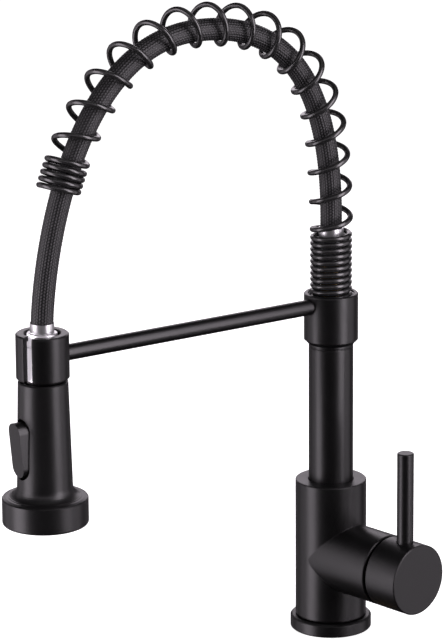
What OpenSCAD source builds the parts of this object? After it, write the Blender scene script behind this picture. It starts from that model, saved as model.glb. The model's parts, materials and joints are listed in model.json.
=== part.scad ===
// Single-lever kitchen faucet with a coil-spring arch and a docked pull-down spray head.
// The deck is the plane z = 0, the riser stands on the z axis and the lever side is +X.
// The spout parts are drawn with the arch in the Y-Z plane, reaching along -Y, and turned afterwards.

/* [Base and deck] */
// How far the base ring stands out from the valve body
base_lip = 3.25; // [2.4:0.05:8]
// Height of the base ring
base_h = 8.5; // [7:0.5:12]
// Outside radius of the threaded shank below the deck
shank_r = 16; // [15.5:0.1:17]
// Wall of the threaded shank
shank_wall = 2; // [1.6:0.1:3]
// Length of the shank below the deck
shank_len = 52; // [40:1:70]
// Thickness of the deck that the faucet is clamped to
deck_t = 30; // [3:1:32]
// Radius of the clamping washers
washer_r = 29; // [26:0.5:34]
// Height of the mounting nut
nut_h = 12; // [8:0.5:14]

/* [Valve body] */
// Radius of the upright valve body
body_r = 22.4; // [20.5:0.1:28]
// Height of the body's top above the valve axis
body_rise = 49; // [40:0.5:65]
// Height of the valve axis above the deck
valve_z = 48.9; // [46:0.1:52]
// Radius of the side boss
boss_r = 22.3; // [21.5:0.1:26]
// Distance of the boss's end from the riser axis
boss_x = 50; // [50:0.5:62]
// Wall of the boss round the retaining nut
boss_wall = 2.55; // [2:0.05:3.2]
// Gap between the inlets and the wall of the shank, sideways
inlet_gap = 1.3; // [0.9:0.1:2]
// Radius of the inlet holes, at the root of their thread
inlet_r = 4.5; // [4:0.1:4.6]

/* [Handle] */
// Gap between the boss and the cap
cap_gap = 2; // [1.8:0.1:4]
// Length of the cap
cap_len = 24.6; // [24:0.1:32]
// How much smaller the cap's radius is than the boss's
cap_step = 0; // [0:0.1:0.9]
// Radius of the lever
lever_r = 5.2; // [4:0.1:6]
// Height of the lever's top above the valve axis
lever_h = 79.9; // [50:0.1:110]
// Wall of the cap round its cavity
cap_wall = 2.8; // [2:0.1:3.2]

/* [Riser and hub] */
// Outside radius of the riser
riser_r = 14; // [13:0.1:17]
// Wall of the riser
riser_wall = 2; // [1.2:0.1:2.4]
// Wall of the hub round the riser
hub_wall = 2.95; // [2.7:0.05:6]
// Height of the hub's underside above the deck
hub_z = 187; // [150:0.5:230]
// Height of the hub
hub_h = 32.2; // [29:0.2:40]
// Chamfer under the hub
hub_chamfer = 2.5; // [1:0.1:2.8]

/* [Arm and dock] */
// Distance between the riser axis and the spray axis
reach = 211.1; // [160:0.1:260]
// Radius of the arm
arm_r = 4.9; // [3.5:0.1:6]
// Bore radius of the docking ring
dock_bore_r = 10.9; // [10.6:0.1:13]
// Wall of the docking ring
dock_wall = 5.05; // [4:0.05:8]
// Height of the docking ring
dock_h = 28.2; // [24:0.2:34]
// Width of the ring's slot
slot_w = 5.9; // [2:0.1:6.4]
// Turn of the slot from the spout's direction
slot_turn = 24.5; // [0:0.5:60]
// Turn of the spout from square to the lever side, clockwise from above
spout_turn = 9; // [-60:1:60]

/* [Spring and hose] */
// Height of the arch's crown above the top of the hub
crown_rise = 176.7; // [140:0.1:220]
// Distance of the crown from the riser axis
crown_y = 99.1; // [80:0.1:120]
// Height above the top of the hub at which the hose leaves the riser axis
bend_rise = 48.8; // [45:0.2:70]
// Diameter of the hose
hose_d = 13.4; // [11:0.1:16]
// Wall of the braided sleeve
braid_wall = 1.1; // [0.8:0.1:1.4]
// Wall of the inner tube
tube_wall = 1.5; // [1.2:0.1:1.8]
// Wire diameter of the spring
wire_d = 3.5; // [2.6:0.1:4.4]
// Gap between the lower ferrule and the close-wound coils round it
coil_play = 1.75; // [1:0.05:2.5]
// How much wider the open coils are than the close-wound ones
open_swell = 1.2; // [0.6:0.1:4]
// Gap between one close-wound coil and the next
coil_gap = 0.35; // [0.25:0.05:1.5]
// Number of close-wound coils at the hub
low_coils = 12.55; // [8:0.05:16]
// Number of open coils over the arch
open_coils = 16.15; // [12:0.05:24]
// Number of close-wound coils at the free end
top_coils = 4.5; // [3:0.1:8]
// Height of the spring's free end above the top of the hub
spring_end_rise = 91.2; // [75:0.1:110]

/* [Spray head] */
// Radius of the top of the spray head
head_top_r = 15.05; // [14.4:0.05:18.4]
// How much wider the spray head is at its waist than at its top
head_flare = 1.7; // [1:0.1:4]
// Radius of the cove above the nozzle ring
cove_r = 7; // [6:0.1:9]
// How far the nozzle ring stands out past the cove
nozzle_lip = 2.2; // [1.7:0.1:6]
// Height of the nozzle ring
nozzle_h = 16.5; // [15:0.1:20]
// Length of the spray head below the docking ring
head_len = 88.4; // [85:0.2:105]
// Wall of the spray shell at its cavity
shell_wall = 2.6; // [2.2:0.1:3]
// Width of the recess for the rocker
recess_w = 14; // [12:0.1:15]
// Height of the recess for the rocker
recess_h = 37.6; // [36:0.2:40]
// Lean of the rocker's face at rest
rocker_lean = 5.5; // [3:0.5:7]
// Swing of the rocker
rocker_swing = 14; // [8:0.5:14]
// Number of nozzles in the inner ring and in the outer ring
nub_counts = [18, 26]; // [12:1:30]

/* [Fits] */
// Clearance of a fixed fit
fit = 0.05; // [0.03:0.01:0.1]
// Radial clearance of a running fit
run = 0.08; // [0.02:0.01:0.1]
// Gap between parts that pass each other
pass = 0.4; // [0.3:0.05:0.6]

/* [Hidden] */
$fn = 72;
over = 1; // how far a cut runs past what it cuts
matte_black = [0.15, 0.15, 0.155];
braid_black = [0.09, 0.09, 0.1];
chrome = [0.82, 0.83, 0.85];
brass = [0.78, 0.62, 0.35];
steel = [0.66, 0.67, 0.69];
rubber = [0.07, 0.07, 0.07];
white_resin = [0.9, 0.9, 0.87];
grey_resin = [0.5, 0.52, 0.54];
ceramic = [0.93, 0.93, 0.9];

// Base stack
base_r = body_r + base_lip;
shank_in_r = shank_r - shank_wall;
shank_top = base_h + 11.5;
ring_bore_r = shank_r + 0.2;
washer_t = 3;
plate_t = 2;
seal_groove = [base_r - 5.65, base_r - 2.25, 1.6]; // inner radius, outer radius and depth
inlet_x = -3;
inlet_y = shank_in_r - inlet_r - inlet_gap;
inlet_depth = 12;
outlet_bore_r = 5;
body_top = valve_z + body_rise;

// Riser socket in the top of the body
stub_r = riser_r - 1.5;
socket_r = stub_r + run;
socket_depth = 20.5;
socket_z = body_top - socket_depth;
seat_z = body_top - 3; // floor of the counterbore
slip_t = 0.8;
riser_z = seat_z + slip_t + fit;
stub_bore_r = 8;
ring_d = 1.8; // O-ring wire
ring_seat_r = stub_r - ring_d;
ring_z = [socket_z + 3.5, seat_z - 3.5];
catch_z = (ring_z[0] + ring_z[1]) / 2; // groove for the swivel screw
catch_depth = 1.5;
screw_r = 2;
riser_in_r = riser_r - riser_wall;

// Cartridge, measured along the valve axis from the riser axis
nut_r = boss_r - boss_wall;
cart_r = nut_r - 2.15;
cart_x = boss_x - 40.5; // chamber floor
seal_t = 1.05;
port_r = 3.2;
port_y = cart_r - 9.2; // inlets beside the valve axis
port_z = [12.4 - cart_r, cart_r - 9.4]; // inlets below the valve axis and outlet above it
cart_base_t = 3.9;
disc_t = 2.95;
cart_base_x = cart_x + seal_t + fit;
fixed_x = cart_base_x + cart_base_t + fit;
moving_x = fixed_x + disc_t + fit;
housing_end = boss_x - 9.1;
housing_wall = 1.9;
cart_in_r = cart_r - fit - housing_wall;
lip_t = 2;
neck_r = cart_in_r - 1.8;
turret_flange_t = 1.1;
turret_x = housing_end - lip_t - turret_flange_t - 0.2;
plate_x = housing_end + 1.8;
pivot_plate_t = 4.6;
pivot_plate_r = cart_r - 0.2;
plate_face = plate_x + pivot_plate_t;
pivot_x = boss_x + 1;
pivot_drop = boss_r - 7.4; // from the valve axis down to the tilt axis
pin_r = 1.25;
lug_in = 4.2;
lug_out = 6.8;
lug_half = 2.5;
eye_r = 2.6;
slot_half = 2.2;
slot_low = -2.4;
slot_high = 6.4;
disc_travel = 4.7; // lift of the moving disc over the lever's range
moving_r = cart_in_r - disc_travel - 0.7;
ball_r = 2.3;
ball_x = boss_x - 19;
rod_r = 1.6;
driver_end = turret_x - pass;

// Handle
cap_x = boss_x + cap_gap;
cap_r = boss_r - cap_step;
cap_in_r = cap_r - cap_wall;
shank_sq = 8;
lever_x = cap_x + 13;
cap_cavity = lever_x - cap_x - lever_r - 0.6; // ends short of the lever's socket
socket_end = lever_x + 3.4;
lever_foot = 10.5; // from the valve axis

// Spring and hose
hose_r = hose_d / 2;
braid_in_r = hose_r - braid_wall;
tube_r = braid_in_r - 0.15;
tube_in_r = tube_r - tube_wall;
barb_r = tube_in_r - 0.25;
ferrule_wall = 0.25;
ferrule_in_r = hose_r + 0.35;
ferrule_r = ferrule_in_r + ferrule_wall;
low_ferrule_r = ferrule_in_r + 0.8;
low_ferrule_h = 21.7;
wire_r = wire_d / 2;
close_od = 2 * (low_ferrule_r + coil_play + wire_d);
open_od = close_od + open_swell;
close_pitch = wire_d + coil_gap;

// Hub
hub_bore_r = riser_r + fit;
hub_top = hub_z + hub_h;
riser_top = hub_top - 12.3;
plug_flange_t = 1.85;
spring_seat = riser_top + fit + plug_flange_t;
lip_out_r = max(close_od / 2 + 1.3, riser_r + 0.4);
lip_in_r = close_od / 2 + 0.7; // clears the spring's straight foot
plug_flange_r = lip_out_r - 0.5;
hub_r = lip_out_r + hub_wall - 0.4;
arm_z = hub_top - 7.15;
arm_root = lip_out_r + 0.8;
hub_screw_z = hub_z + 8;
seam_z = hub_z - 2.4;
plug_depth = 14;
nipple_r = 5.2;
nipple_bore_r = barb_r - 0.7;
nipple_hex_r = 8.4;
nipple_hex_h = 6;
barb_len = 22;

// Dock and hose ends
dock_top = arm_z + 14.9;
dock_z = dock_top - dock_h;
dock_r = dock_bore_r + dock_wall;
dock_lip_h = 3;
neck_low_r = dock_bore_r + 0.5;
dock_socket_r = neck_low_r + 1.1; // below the lip
arm_end = reach - dock_bore_r - 2.9;
nut_top = dock_top + 0.4;
ferrule_z = nut_top + 0.2;
hose_end_z = ferrule_z + 1.1;
ferrule_h = 5.6;
nipple_collar_z = hub_top + 17;
hose_start_z = nipple_collar_z + 3;

// Spray head, on its own axis, with the rocker towards -Y
head_top = dock_z - 1.2;
nozzle_z = head_top - head_len;
nozzle_top = nozzle_z + nozzle_h;
head_low_r = head_top_r + head_flare;
nozzle_r = head_low_r + cove_r + nozzle_lip;
neck_out_r = dock_bore_r - 1.1;
neck_tip_r = neck_out_r - 0.9;
neck_step_z = dock_top - 7.4;
cavity_r = head_top_r - shell_wall + 0.6;
skirt_r = nozzle_r - 3.9;
skirt_in_r = skirt_r - 1.9;
thread_r = neck_out_r - 0.8;
neck_foot = head_top - 7.8;
pocket_r = neck_out_r - 2.6;
pocket_top = head_top + 11.7;
stem_r = barb_r + 0.8;
swivel_h = 6.5; // from the top of the pocket to the underside of the swivel
washer_gap = 0.1;
neck_washer_t = 1.8;
skirt_z = nozzle_top - 8.4;
recess_z = (head_top + nozzle_top) / 2 - 4;
floor_y = head_top_r - 5.6;
floor_t = 1.4;
rocker_w = recess_w - 1.4;
rocker_h = recess_h - 3.6;
rocker_pivot_y = floor_y + 2.6;
rocker_pin_r = 1;
rocker_face_y = head_top_r + 4.5;
knuckle_r = 2.2;
spool_y = floor_y - 5.6;
spool_r = 2.6;
core_r = cavity_r - 0.6;
core_top = head_top - 10.6;
core_base_z = nozzle_z + 9.1;
waterway_top = pocket_top - swivel_h - 2 * washer_gap - neck_washer_t;
aerator_r = 10.4;
face_z = nozzle_z + 1.5;
face_t = 2;
pad_t = 1.5;
nub_r = 1.1;
nub_radii = [14.2, 18.4];

// Arch
crown_z = hub_top + crown_rise;
bend_z = hub_top + bend_rise;
spring_end_z = hub_top + spring_end_rise;
rings_per_coil = 8;
wire_sides = 6;
hose_sides = 12;
hose_rings = 44;
arch_steps = 60;
arch_foot = spring_seat - 4;
riser_rise = 0.363; // how straight the arch leaves the riser
riser_round = 0.899;
spray_round = 0.85; // how far the crown carries on towards the spray
spray_rise = 0.163;
rest_gap = 0.25; // between the hose and the coils that it lies against
lean_from = 78; // where the hose starts to lie over to the inside, from the foot of the spring
lean_len = 63;
start_phase = 316;

// Shared shapes

module tube(r_out, r_in, z0, z1) {
    translate([0, 0, z0]) difference() {
        cylinder(r = r_out, h = z1 - z0);
        translate([0, 0, -over]) cylinder(r = r_in, h = z1 - z0 + 2 * over);
    }
}

module rod(r, z0, z1) {
    translate([0, 0, z0]) cylinder(r = r, h = z1 - z0);
}

module lathe(points) {
    rotate_extrude() polygon(points);
}

module o_ring(r_mid, r_wire, z) {
    translate([0, 0, z]) rotate_extrude() translate([r_mid, 0]) circle(r = r_wire, $fn = 24);
}

// Children drawn along +Z from the origin lie along the valve axis, with X kept as -Z.
module on_valve() {
    translate([0, 0, valve_z]) rotate([0, 90, 0]) children();
}

module on_spout() {
    rotate([0, 0, -spout_turn]) children();
}

module on_spray() {
    on_spout() translate([0, -reach, 0]) children();
}

module hex_socket(across, depth) {
    cylinder(r = across / sqrt(3), h = depth, $fn = 6);
}

// A stadium plate standing in the X-Z plane, from y = -far to y = -near
module stadium(w, h, near, far) {
    translate([0, -near, 0]) rotate([90, 0, 0]) linear_extrude(height = far - near) union() {
        square([w, h - w], center = true);
        translate([0, (h - w) / 2]) circle(r = w / 2);
        translate([0, -(h - w) / 2]) circle(r = w / 2);
    }
}

// Base and deck

module base_ring() {
    color(matte_black) difference() {
        lathe([[ring_bore_r, 0], [base_r - 0.6, 0], [base_r, 0.6], [base_r, base_h - 1.2],
            [base_r - 1.2, base_h], [ring_bore_r, base_h]]);
        tube(seal_groove[1], seal_groove[0], -over, seal_groove[2]);
    }
}

module deck_seal() {
    color(rubber) tube(seal_groove[1] - 0.2, seal_groove[0] + 0.2, 0, seal_groove[2] - fit);
}

module mounting_shank() {
    color(brass) tube(shank_r, shank_in_r, -shank_len, shank_top - fit);
}

module rubber_washer() {
    color(rubber) tube(washer_r, shank_r + 0.3, -deck_t - washer_t, -deck_t);
}

module steel_washer() {
    color(steel) tube(washer_r, shank_r + 0.2, -deck_t - washer_t - plate_t, -deck_t - washer_t);
}

module mounting_nut() {
    nut_top_z = -deck_t - washer_t - plate_t;
    color(brass) translate([0, 0, nut_top_z - nut_h]) difference() {
        cylinder(r = shank_r + 6.5, h = nut_h, $fn = 6);
        translate([0, 0, -over]) cylinder(r = shank_r + fit, h = nut_h + 2 * over);
    }
}

// Valve body

module body_solid() {
    lathe([[0, base_h], [body_r - 0.7, base_h], [body_r, base_h + 0.7], [body_r, body_top - 0.5],
        [body_r - 0.5, body_top], [0, body_top]]);
    on_valve() lathe([[0, 0], [boss_r, 0], [boss_r, boss_x - 0.5], [boss_r - 0.5, boss_x], [0, boss_x]]);
}

module valve_body() {
    color(matte_black) difference() {
        body_solid();
        rod(shank_r + fit, base_h - over, shank_top);
        for (side = [-1, 1]) {
            translate([inlet_x, side * inlet_y, 0]) rod(inlet_r, shank_top - over, shank_top + inlet_depth);
            translate([inlet_x, side * inlet_y, 0]) rod(inlet_r - 0.6, shank_top, valve_z + port_z[0]);
            translate([0, side * port_y, port_z[0]]) on_valve() rod(port_r, inlet_x, cart_x + over);
        }
        translate([0, 0, port_z[1]]) on_valve() rod(port_r, -2, cart_x + over);
        rod(outlet_bore_r, valve_z + port_z[1], socket_z + over);
        rod(socket_r, socket_z, body_top);
        rod(riser_r + 0.35, seat_z, body_top + over);
        on_valve() rod(cart_r, cart_x, boss_x);
        on_valve() rod(nut_r, housing_end + 0.1, boss_x + over);
        translate([-body_r - over, 0, catch_z]) rotate([0, 90, 0])
            cylinder(r = screw_r + fit, h = body_r - stub_r + 2);
    }
}

module slip_washer() {
    color(white_resin) tube(riser_r + 0.2, stub_r + 0.3, seat_z, seat_z + slip_t);
}

module swivel_screw() {
    tip = stub_r - catch_depth + 0.25;
    head = body_r - 0.9;
    color(steel) translate([-head, 0, catch_z]) rotate([0, 90, 0]) difference() {
        cylinder(r = screw_r, h = head - tip);
        translate([0, 0, -over]) hex_socket(2, 2.5 + over);
    }
}

// Cartridge

module port_holes(r, from, to) {
    for (side = [-1, 1]) translate([0, side * port_y, port_z[0]]) on_valve() rod(r, from, to);
    translate([0, 0, port_z[1]]) on_valve() rod(r, from, to);
}

module cartridge_seals() {
    color(rubber) difference() {
        port_holes(port_r + 1.7, cart_x, cart_x + seal_t);
        port_holes(port_r, cart_x - over, cart_x + seal_t + over);
    }
}

module cartridge_base() {
    color(white_resin) difference() {
        on_valve() rod(cart_r - fit, cart_base_x, cart_base_x + cart_base_t);
        port_holes(port_r, cart_base_x - over, cart_base_x + cart_base_t + over);
    }
}

module fixed_disc() {
    color(ceramic) difference() {
        on_valve() rod(cart_in_r - 0.2, fixed_x, fixed_x + disc_t);
        port_holes(port_r, fixed_x - over, fixed_x + disc_t + over);
    }
}

module cartridge_housing() {
    color(grey_resin) on_valve() difference() {
        rod(cart_r - fit, fixed_x, housing_end);
        rod(cart_in_r, fixed_x - over, housing_end - lip_t);
        rod(neck_r + 0.2, housing_end - lip_t - over, housing_end + over);
    }
}

module retaining_nut() {
    color(brass) on_valve() difference() {
        rod(nut_r - fit, housing_end + 0.15, boss_x - 4.2);
        rod(neck_r + 0.6, housing_end - over, boss_x);
        rod(pivot_plate_r + 0.3, plate_x - 0.3, boss_x);
    }
}

// Slot through which the stem's finger reaches the driver
module finger_slot(from, to) {
    translate([from, -slot_half, valve_z + slot_low]) cube([to - from, 2 * slot_half, slot_high - slot_low]);
}

module turret_screw_places() {
    for (side = [-1, 1]) translate([0, side * (neck_r - 4.65), 0]) children();
}

module cartridge_turret() {
    color(grey_resin) difference() {
        union() {
            on_valve() rod(cart_in_r - 0.2, turret_x, turret_x + turret_flange_t);
            on_valve() rod(neck_r, turret_x, plate_x - fit);
        }
        finger_slot(turret_x - over, plate_x + over);
        turret_screw_places() on_valve() rod(1 + fit, plate_x - 3, plate_x + over);
    }
}

module pivot_plate() {
    color(steel) difference() {
        union() {
            on_valve() rod(pivot_plate_r, plate_x, plate_face);
            for (side = [-1, 1])
                translate([plate_face - over, side > 0 ? lug_in : -lug_out, valve_z - pivot_drop - lug_half])
                    cube([pivot_x - plate_face + 2.6 + over, lug_out - lug_in, 2 * lug_half]);
        }
        finger_slot(plate_x - over, plate_face + over);
        turret_screw_places() on_valve() rod(1 + fit, plate_x - over, plate_face + over);
        translate([pivot_x, -lug_out - over, valve_z - pivot_drop]) rotate([-90, 0, 0])
            cylinder(r = pin_r + fit, h = 2 * (lug_out + over));
    }
}

module turret_screws() {
    color(steel) turret_screw_places() on_valve() difference() {
        rod(1, plate_x - 2.8, plate_face);
        translate([0, 0, plate_face - 0.8]) hex_socket(1, 0.8 + over);
    }
}

module pivot_pin() {
    color(steel) translate([pivot_x, -lug_out + 0.1, valve_z - pivot_drop]) rotate([-90, 0, 0])
        cylinder(r = pin_r, h = 2 * (lug_out - 0.1));
}

module moving_disc() {
    color(ceramic) on_valve() difference() {
        rod(moving_r, moving_x, moving_x + disc_t);
        rod(moving_r - 4, moving_x - over, moving_x + 1.4);
    }
}

module disc_driver() {
    half = ball_r + pass;
    color(white_resin) difference() {
        on_valve() rod(moving_r - 0.4, moving_x + disc_t + fit, driver_end);
        translate([ball_x - 4, -half, valve_z - half])
            cube([driver_end - ball_x + 4 + over, 2 * half, 2 * half]);
    }
}

// Handle

module stem_yoke() {
    web_x = [pivot_x - 1.6, pivot_x + 2.4];
    color(steel) difference() {
        union() {
            translate([pivot_x, -lug_in + 0.3, valve_z - pivot_drop]) rotate([-90, 0, 0])
                cylinder(r = eye_r, h = 2 * (lug_in - 0.3));
            translate([web_x[0], -lug_in + 0.3, valve_z - pivot_drop])
                cube([web_x[1] - web_x[0], 2 * (lug_in - 0.3), pivot_drop + shank_sq / 2]);
            translate([web_x[1] - over, -shank_sq / 2 + 0.1, valve_z - shank_sq / 2])
                cube([socket_end - 0.3 - web_x[1] + over, shank_sq - 0.2, shank_sq]);
            on_valve() rod(rod_r, ball_x, web_x[0] + over);
            translate([ball_x, 0, valve_z]) sphere(r = ball_r);
        }
        translate([pivot_x, -lug_in - over, valve_z - pivot_drop]) rotate([-90, 0, 0])
            cylinder(r = pin_r + run, h = 2 * (lug_in + over));
    }
}

module handle_cap() {
    cap_end = cap_x + cap_len;
    color(matte_black) difference() {
        on_valve() lathe([[0, cap_x], [cap_r - 0.4, cap_x], [cap_r, cap_x + 0.4], [cap_r, cap_end - 0.5],
            [cap_r - 0.5, cap_end], [0, cap_end]]);
        on_valve() rod(cap_in_r, cap_x - over, cap_x + cap_cavity);
        translate([cap_x + cap_cavity - over, -shank_sq / 2, valve_z - shank_sq / 2 - fit])
            cube([socket_end - cap_x - cap_cavity + over, shank_sq, shank_sq + 2 * fit]);
        translate([lever_x, 0, valve_z]) rod(lever_r + fit, lever_foot, cap_r + over);
        translate([lever_x, 0, valve_z]) rod(screw_r + fit, -cap_r - over, -shank_sq / 2 + over);
    }
}

module lever() {
    color(matte_black) translate([lever_x, 0, valve_z])
        lathe([[0, lever_foot + fit], [lever_r, lever_foot + fit], [lever_r, lever_h - 0.5],
            [lever_r - 0.5, lever_h], [0, lever_h]]);
}

module handle_screw() {
    color(steel) translate([lever_x, 0, valve_z - cap_r + 1.6]) difference() {
        cylinder(r = screw_r, h = cap_r - 1.6 - shank_sq / 2 - 0.1);
        translate([0, 0, -over]) hex_socket(2, 2.5 + over);
    }
}

// Riser and hub

module riser() {
    color(matte_black) on_spout() difference() {
        tube(riser_r, riser_in_r, riser_z, riser_top);
        tube(riser_r + over, riser_r - 0.35, seam_z, seam_z + 0.8);
    }
}

module riser_stub() {
    color(brass) on_spout() difference() {
        union() {
            rod(stub_r, socket_z + 0.3, riser_z - fit);
            rod(riser_in_r - fit, riser_z - fit - over, riser_z + 18);
        }
        rod(stub_bore_r, socket_z - over, riser_z + 18 + over);
        for (z = ring_z) tube(stub_r + over, ring_seat_r - fit, z - 1.3, z + 1.3);
        tube(stub_r + over, stub_r - catch_depth, catch_z - screw_r - 0.3, catch_z + screw_r + 0.3);
    }
}

module riser_seals() {
    color(rubber) on_spout() for (z = ring_z) o_ring(stub_r - ring_d / 2 + 0.02, ring_d / 2, z);
}

module hub() {
    color(matte_black) on_spout() difference() {
        lathe([[hub_bore_r, hub_z], [hub_r - hub_chamfer, hub_z], [hub_r, hub_z + hub_chamfer],
            [hub_r, hub_top - 0.6], [hub_r - 0.6, hub_top], [lip_out_r + fit, hub_top],
            [lip_out_r + fit, riser_top], [hub_bore_r, riser_top]]);
        translate([0, -arm_root, arm_z]) rotate([90, 0, 0])
            cylinder(r = arm_r + fit, h = hub_r - arm_root + over);
        translate([0, riser_r, hub_screw_z]) rotate([-90, 0, 0])
            cylinder(r = screw_r + fit, h = hub_r - riser_r + over);
    }
}

module hub_lip() {
    lip_top = hub_top - 1.3;
    color(chrome) on_spout() lathe([[lip_in_r, spring_seat + fit], [lip_out_r, spring_seat + fit],
        [lip_out_r, lip_top], [lip_out_r - 0.3, lip_top + 0.3], [lip_in_r, lip_top]]);
}

module hub_screw() {
    color(steel) on_spout() translate([0, riser_r + 0.1, hub_screw_z]) rotate([-90, 0, 0]) difference() {
        cylinder(r = screw_r, h = hub_r - riser_r - 0.6);
        translate([0, 0, hub_r - riser_r - 1.8]) hex_socket(2, 1.2 + over);
    }
}

module riser_plug() {
    color(brass) on_spout() difference() {
        union() {
            rod(riser_in_r - fit, riser_top - plug_depth, riser_top + over);
            rod(plug_flange_r, riser_top + fit, spring_seat);
        }
        rod(nipple_r, riser_top - plug_depth - over, spring_seat + over);
    }
}

module outlet_nipple() {
    color(brass) on_spout() difference() {
        union() {
            rod(nipple_r - fit, riser_top - plug_depth + 2, spring_seat + over);
            translate([0, 0, spring_seat + fit]) cylinder(r = nipple_hex_r, h = nipple_hex_h, $fn = 6);
            rod(nipple_r + 1.3, spring_seat + nipple_hex_h, nipple_collar_z + over);
            rod(low_ferrule_r, nipple_collar_z, hose_start_z - 0.1);
            rod(barb_r, hose_start_z - over, hose_start_z + barb_len);
        }
        rod(nipple_bore_r, riser_top - plug_depth, hose_start_z + barb_len + over);
    }
}

module lower_ferrule() {
    color(chrome) on_spout()
        tube(low_ferrule_r, ferrule_in_r, hose_start_z - 0.05, hose_start_z + low_ferrule_h);
}

// Arch: two cubic curves that meet level at the crown. The path is a list of [y, z].

function curve(p, t) =
    pow(1 - t, 3) * p[0] + 3 * pow(1 - t, 2) * t * p[1] + 3 * (1 - t) * t * t * p[2] + pow(t, 3) * p[3];
riser_side = [[0, bend_z], [0, bend_z + riser_rise * (crown_z - bend_z)],
    [-crown_y * (1 - riser_round), crown_z], [-crown_y, crown_z]];
spray_side = [[-crown_y, crown_z], [-crown_y - spray_round * (reach - crown_y), crown_z],
    [-reach, hose_end_z + spray_rise * (crown_z - hose_end_z)], [-reach, hose_end_z]];
path = concat([[0, arch_foot]], [for (i = [0 : arch_steps - 1]) curve(riser_side, i / arch_steps)],
    [for (i = [0 : arch_steps]) curve(spray_side, i / arch_steps)]);
path_s = [for (i = 0, s = 0; i < len(path);
    i = i + 1, s = s + (i < len(path) ? norm(path[i] - path[i - 1]) : 0)) s];
path_len = path_s[len(path) - 1];
y_table = [for (i = [0 : len(path) - 1]) [path_s[i], path[i][0]]];
z_table = [for (i = [0 : len(path) - 1]) [path_s[i], path[i][1]]];
descent = [for (i = [arch_steps + 1 : len(path) - 1]) [-path[i][1], path_s[i]]];

function place(s) = [lookup(s, y_table), lookup(s, z_table)];
function heading(s) = let (d = place(min(s + 0.8, path_len)) - place(max(s - 0.8, 0))) d / norm(d);
// A point beside the path: out from the arch's centre, then across it
function beside(s, out, across) = let (c = place(s), t = heading(s))
    [-across, c[0] + out * t[1], c[1] - out * t[0]];
function ease(x) = let (c = min(max(x, 0), 1)) c * c * (3 - 2 * c);

// Closed tube over rings of points, with each end closed by a fan of triangles
module skin(rings) {
    n = len(rings[0]);
    last = len(rings) - 1;
    points = concat([for (ring = rings) each ring], [mean(rings[0]), mean(rings[last])]);
    faces = concat(
        [for (i = [0 : last - 1], k = [0 : n - 1]) [i * n + k, i * n + (k + 1) % n, (i + 1) * n + k]],
        [for (i = [0 : last - 1], k = [0 : n - 1])
            [(i + 1) * n + k, i * n + (k + 1) % n, (i + 1) * n + (k + 1) % n]],
        [for (k = [0 : n - 1]) [(k + 1) % n, k, (last + 1) * n]],
        [for (k = [0 : n - 1]) [last * n + k, last * n + (k + 1) % n, (last + 1) * n + 1]]);
    polyhedron(points = points, faces = faces);
}

function mean(list) = [for (c = [0 : 2]) sum([for (p = list) p[c]]) / len(list)];
function sum(list) = [for (i = 0, s = 0; i <= len(list);
    s = s + (i < len(list) ? list[i] : 0), i = i + 1) s][len(list)];

// Spring: coils counted from its foot, with its pitch and radius eased over one coil at each change
all_coils = low_coils + open_coils + top_coils;
spring_foot_s = spring_seat + wire_r + 0.1 - arch_foot;
spring_end_s = lookup(-spring_end_z, descent);
open_pitch = (spring_end_s - spring_foot_s - (low_coils + top_coils) * close_pitch) / open_coils;
function openness(n) = ease(n - low_coils + 0.5) - ease(n - low_coils - open_coils + 0.5);
function pitch_at(n) = close_pitch + (open_pitch - close_pitch) * openness(n);
function coil_r(n) = (close_od + (open_od - close_od) * openness(n)) / 2 - wire_r;
function lean_on(s) = ease((s - spring_foot_s - lean_from) / lean_len);
function hose_drop(n, s) = (coil_r(n) * cos(180 / rings_per_coil) - wire_r - hose_r - rest_gap) * lean_on(s);
function coil_centre(i) = beside(spring_s[i], hose_drop(i / rings_per_coil, spring_s[i]), 0);
spring_n = round(all_coils * rings_per_coil);
spring_s = [for (i = 0, s = spring_foot_s; i <= spring_n;
    i = i + 1, s = s + pitch_at((i - 0.5) / rings_per_coil) / rings_per_coil) s];
function coil_point(i) =
    let (n = i / rings_per_coil, s = spring_s[i], a = start_phase + 360 * n, r = coil_r(n))
    beside(s, hose_drop(n, s) + r * cos(a), r * sin(a));
coil_points = [for (i = [0 : spring_n]) coil_point(i)];
// Each end runs straight on for one wire diameter, square to the coil's radius
function end_point(i, side) =
    let (h = heading(spring_s[i]), t = cross([0, h[0], h[1]], coil_points[i] - coil_centre(i)))
    coil_points[i] + side * wire_d * t / norm(t);
wire_line = concat([end_point(0, -1)], coil_points, [end_point(spring_n, 1)]);
function line_heading(l, i) = let (d = l[min(i + 1, len(l) - 1)] - l[max(i - 1, 0)]) d / norm(d);
// The ring's first corner points away from the coil's centre
function wire_ring(i) =
    let (t = line_heading(wire_line, i), o = wire_line[i] - coil_centre(min(max(i - 1, 0), spring_n)),
        u = (o - (o * t) * t) / norm(o - (o * t) * t), v = cross(t, u))
    [for (k = [0 : wire_sides - 1]) let (a = 360 * k / wire_sides)
        wire_line[i] + wire_r * (cos(a) * u + sin(a) * v)];
wire_rings = [for (i = [0 : len(wire_line) - 1]) wire_ring(i)];
// Least distance between corners of rings that are from 0.6 to 1.4 coils apart
spring_gap = min([for (i = [0 : len(wire_line) - 6], j = [i + 5 : min(i + 11, len(wire_line) - 1)],
    p = wire_rings[i], q = wire_rings[j]) norm(p - q)]);
echo(spring_coils = all_coils, spring_open_pitch = open_pitch, spring_least_gap = spring_gap);

module spring() {
    color(matte_black) on_spout() skin(wire_rings);
}

// Hose: a braided sleeve over a tube, both along the path from the nipple to the upper ferrule
hose_from = hose_start_z - arch_foot;
function hose_ring(i, r) = let (s = hose_from + (path_len - hose_from) * i / hose_rings)
    [for (k = [0 : hose_sides - 1]) let (a = 360 * k / hose_sides) beside(s, r * cos(a), r * sin(a))];
echo(hose_length = path_len - hose_from);

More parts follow.
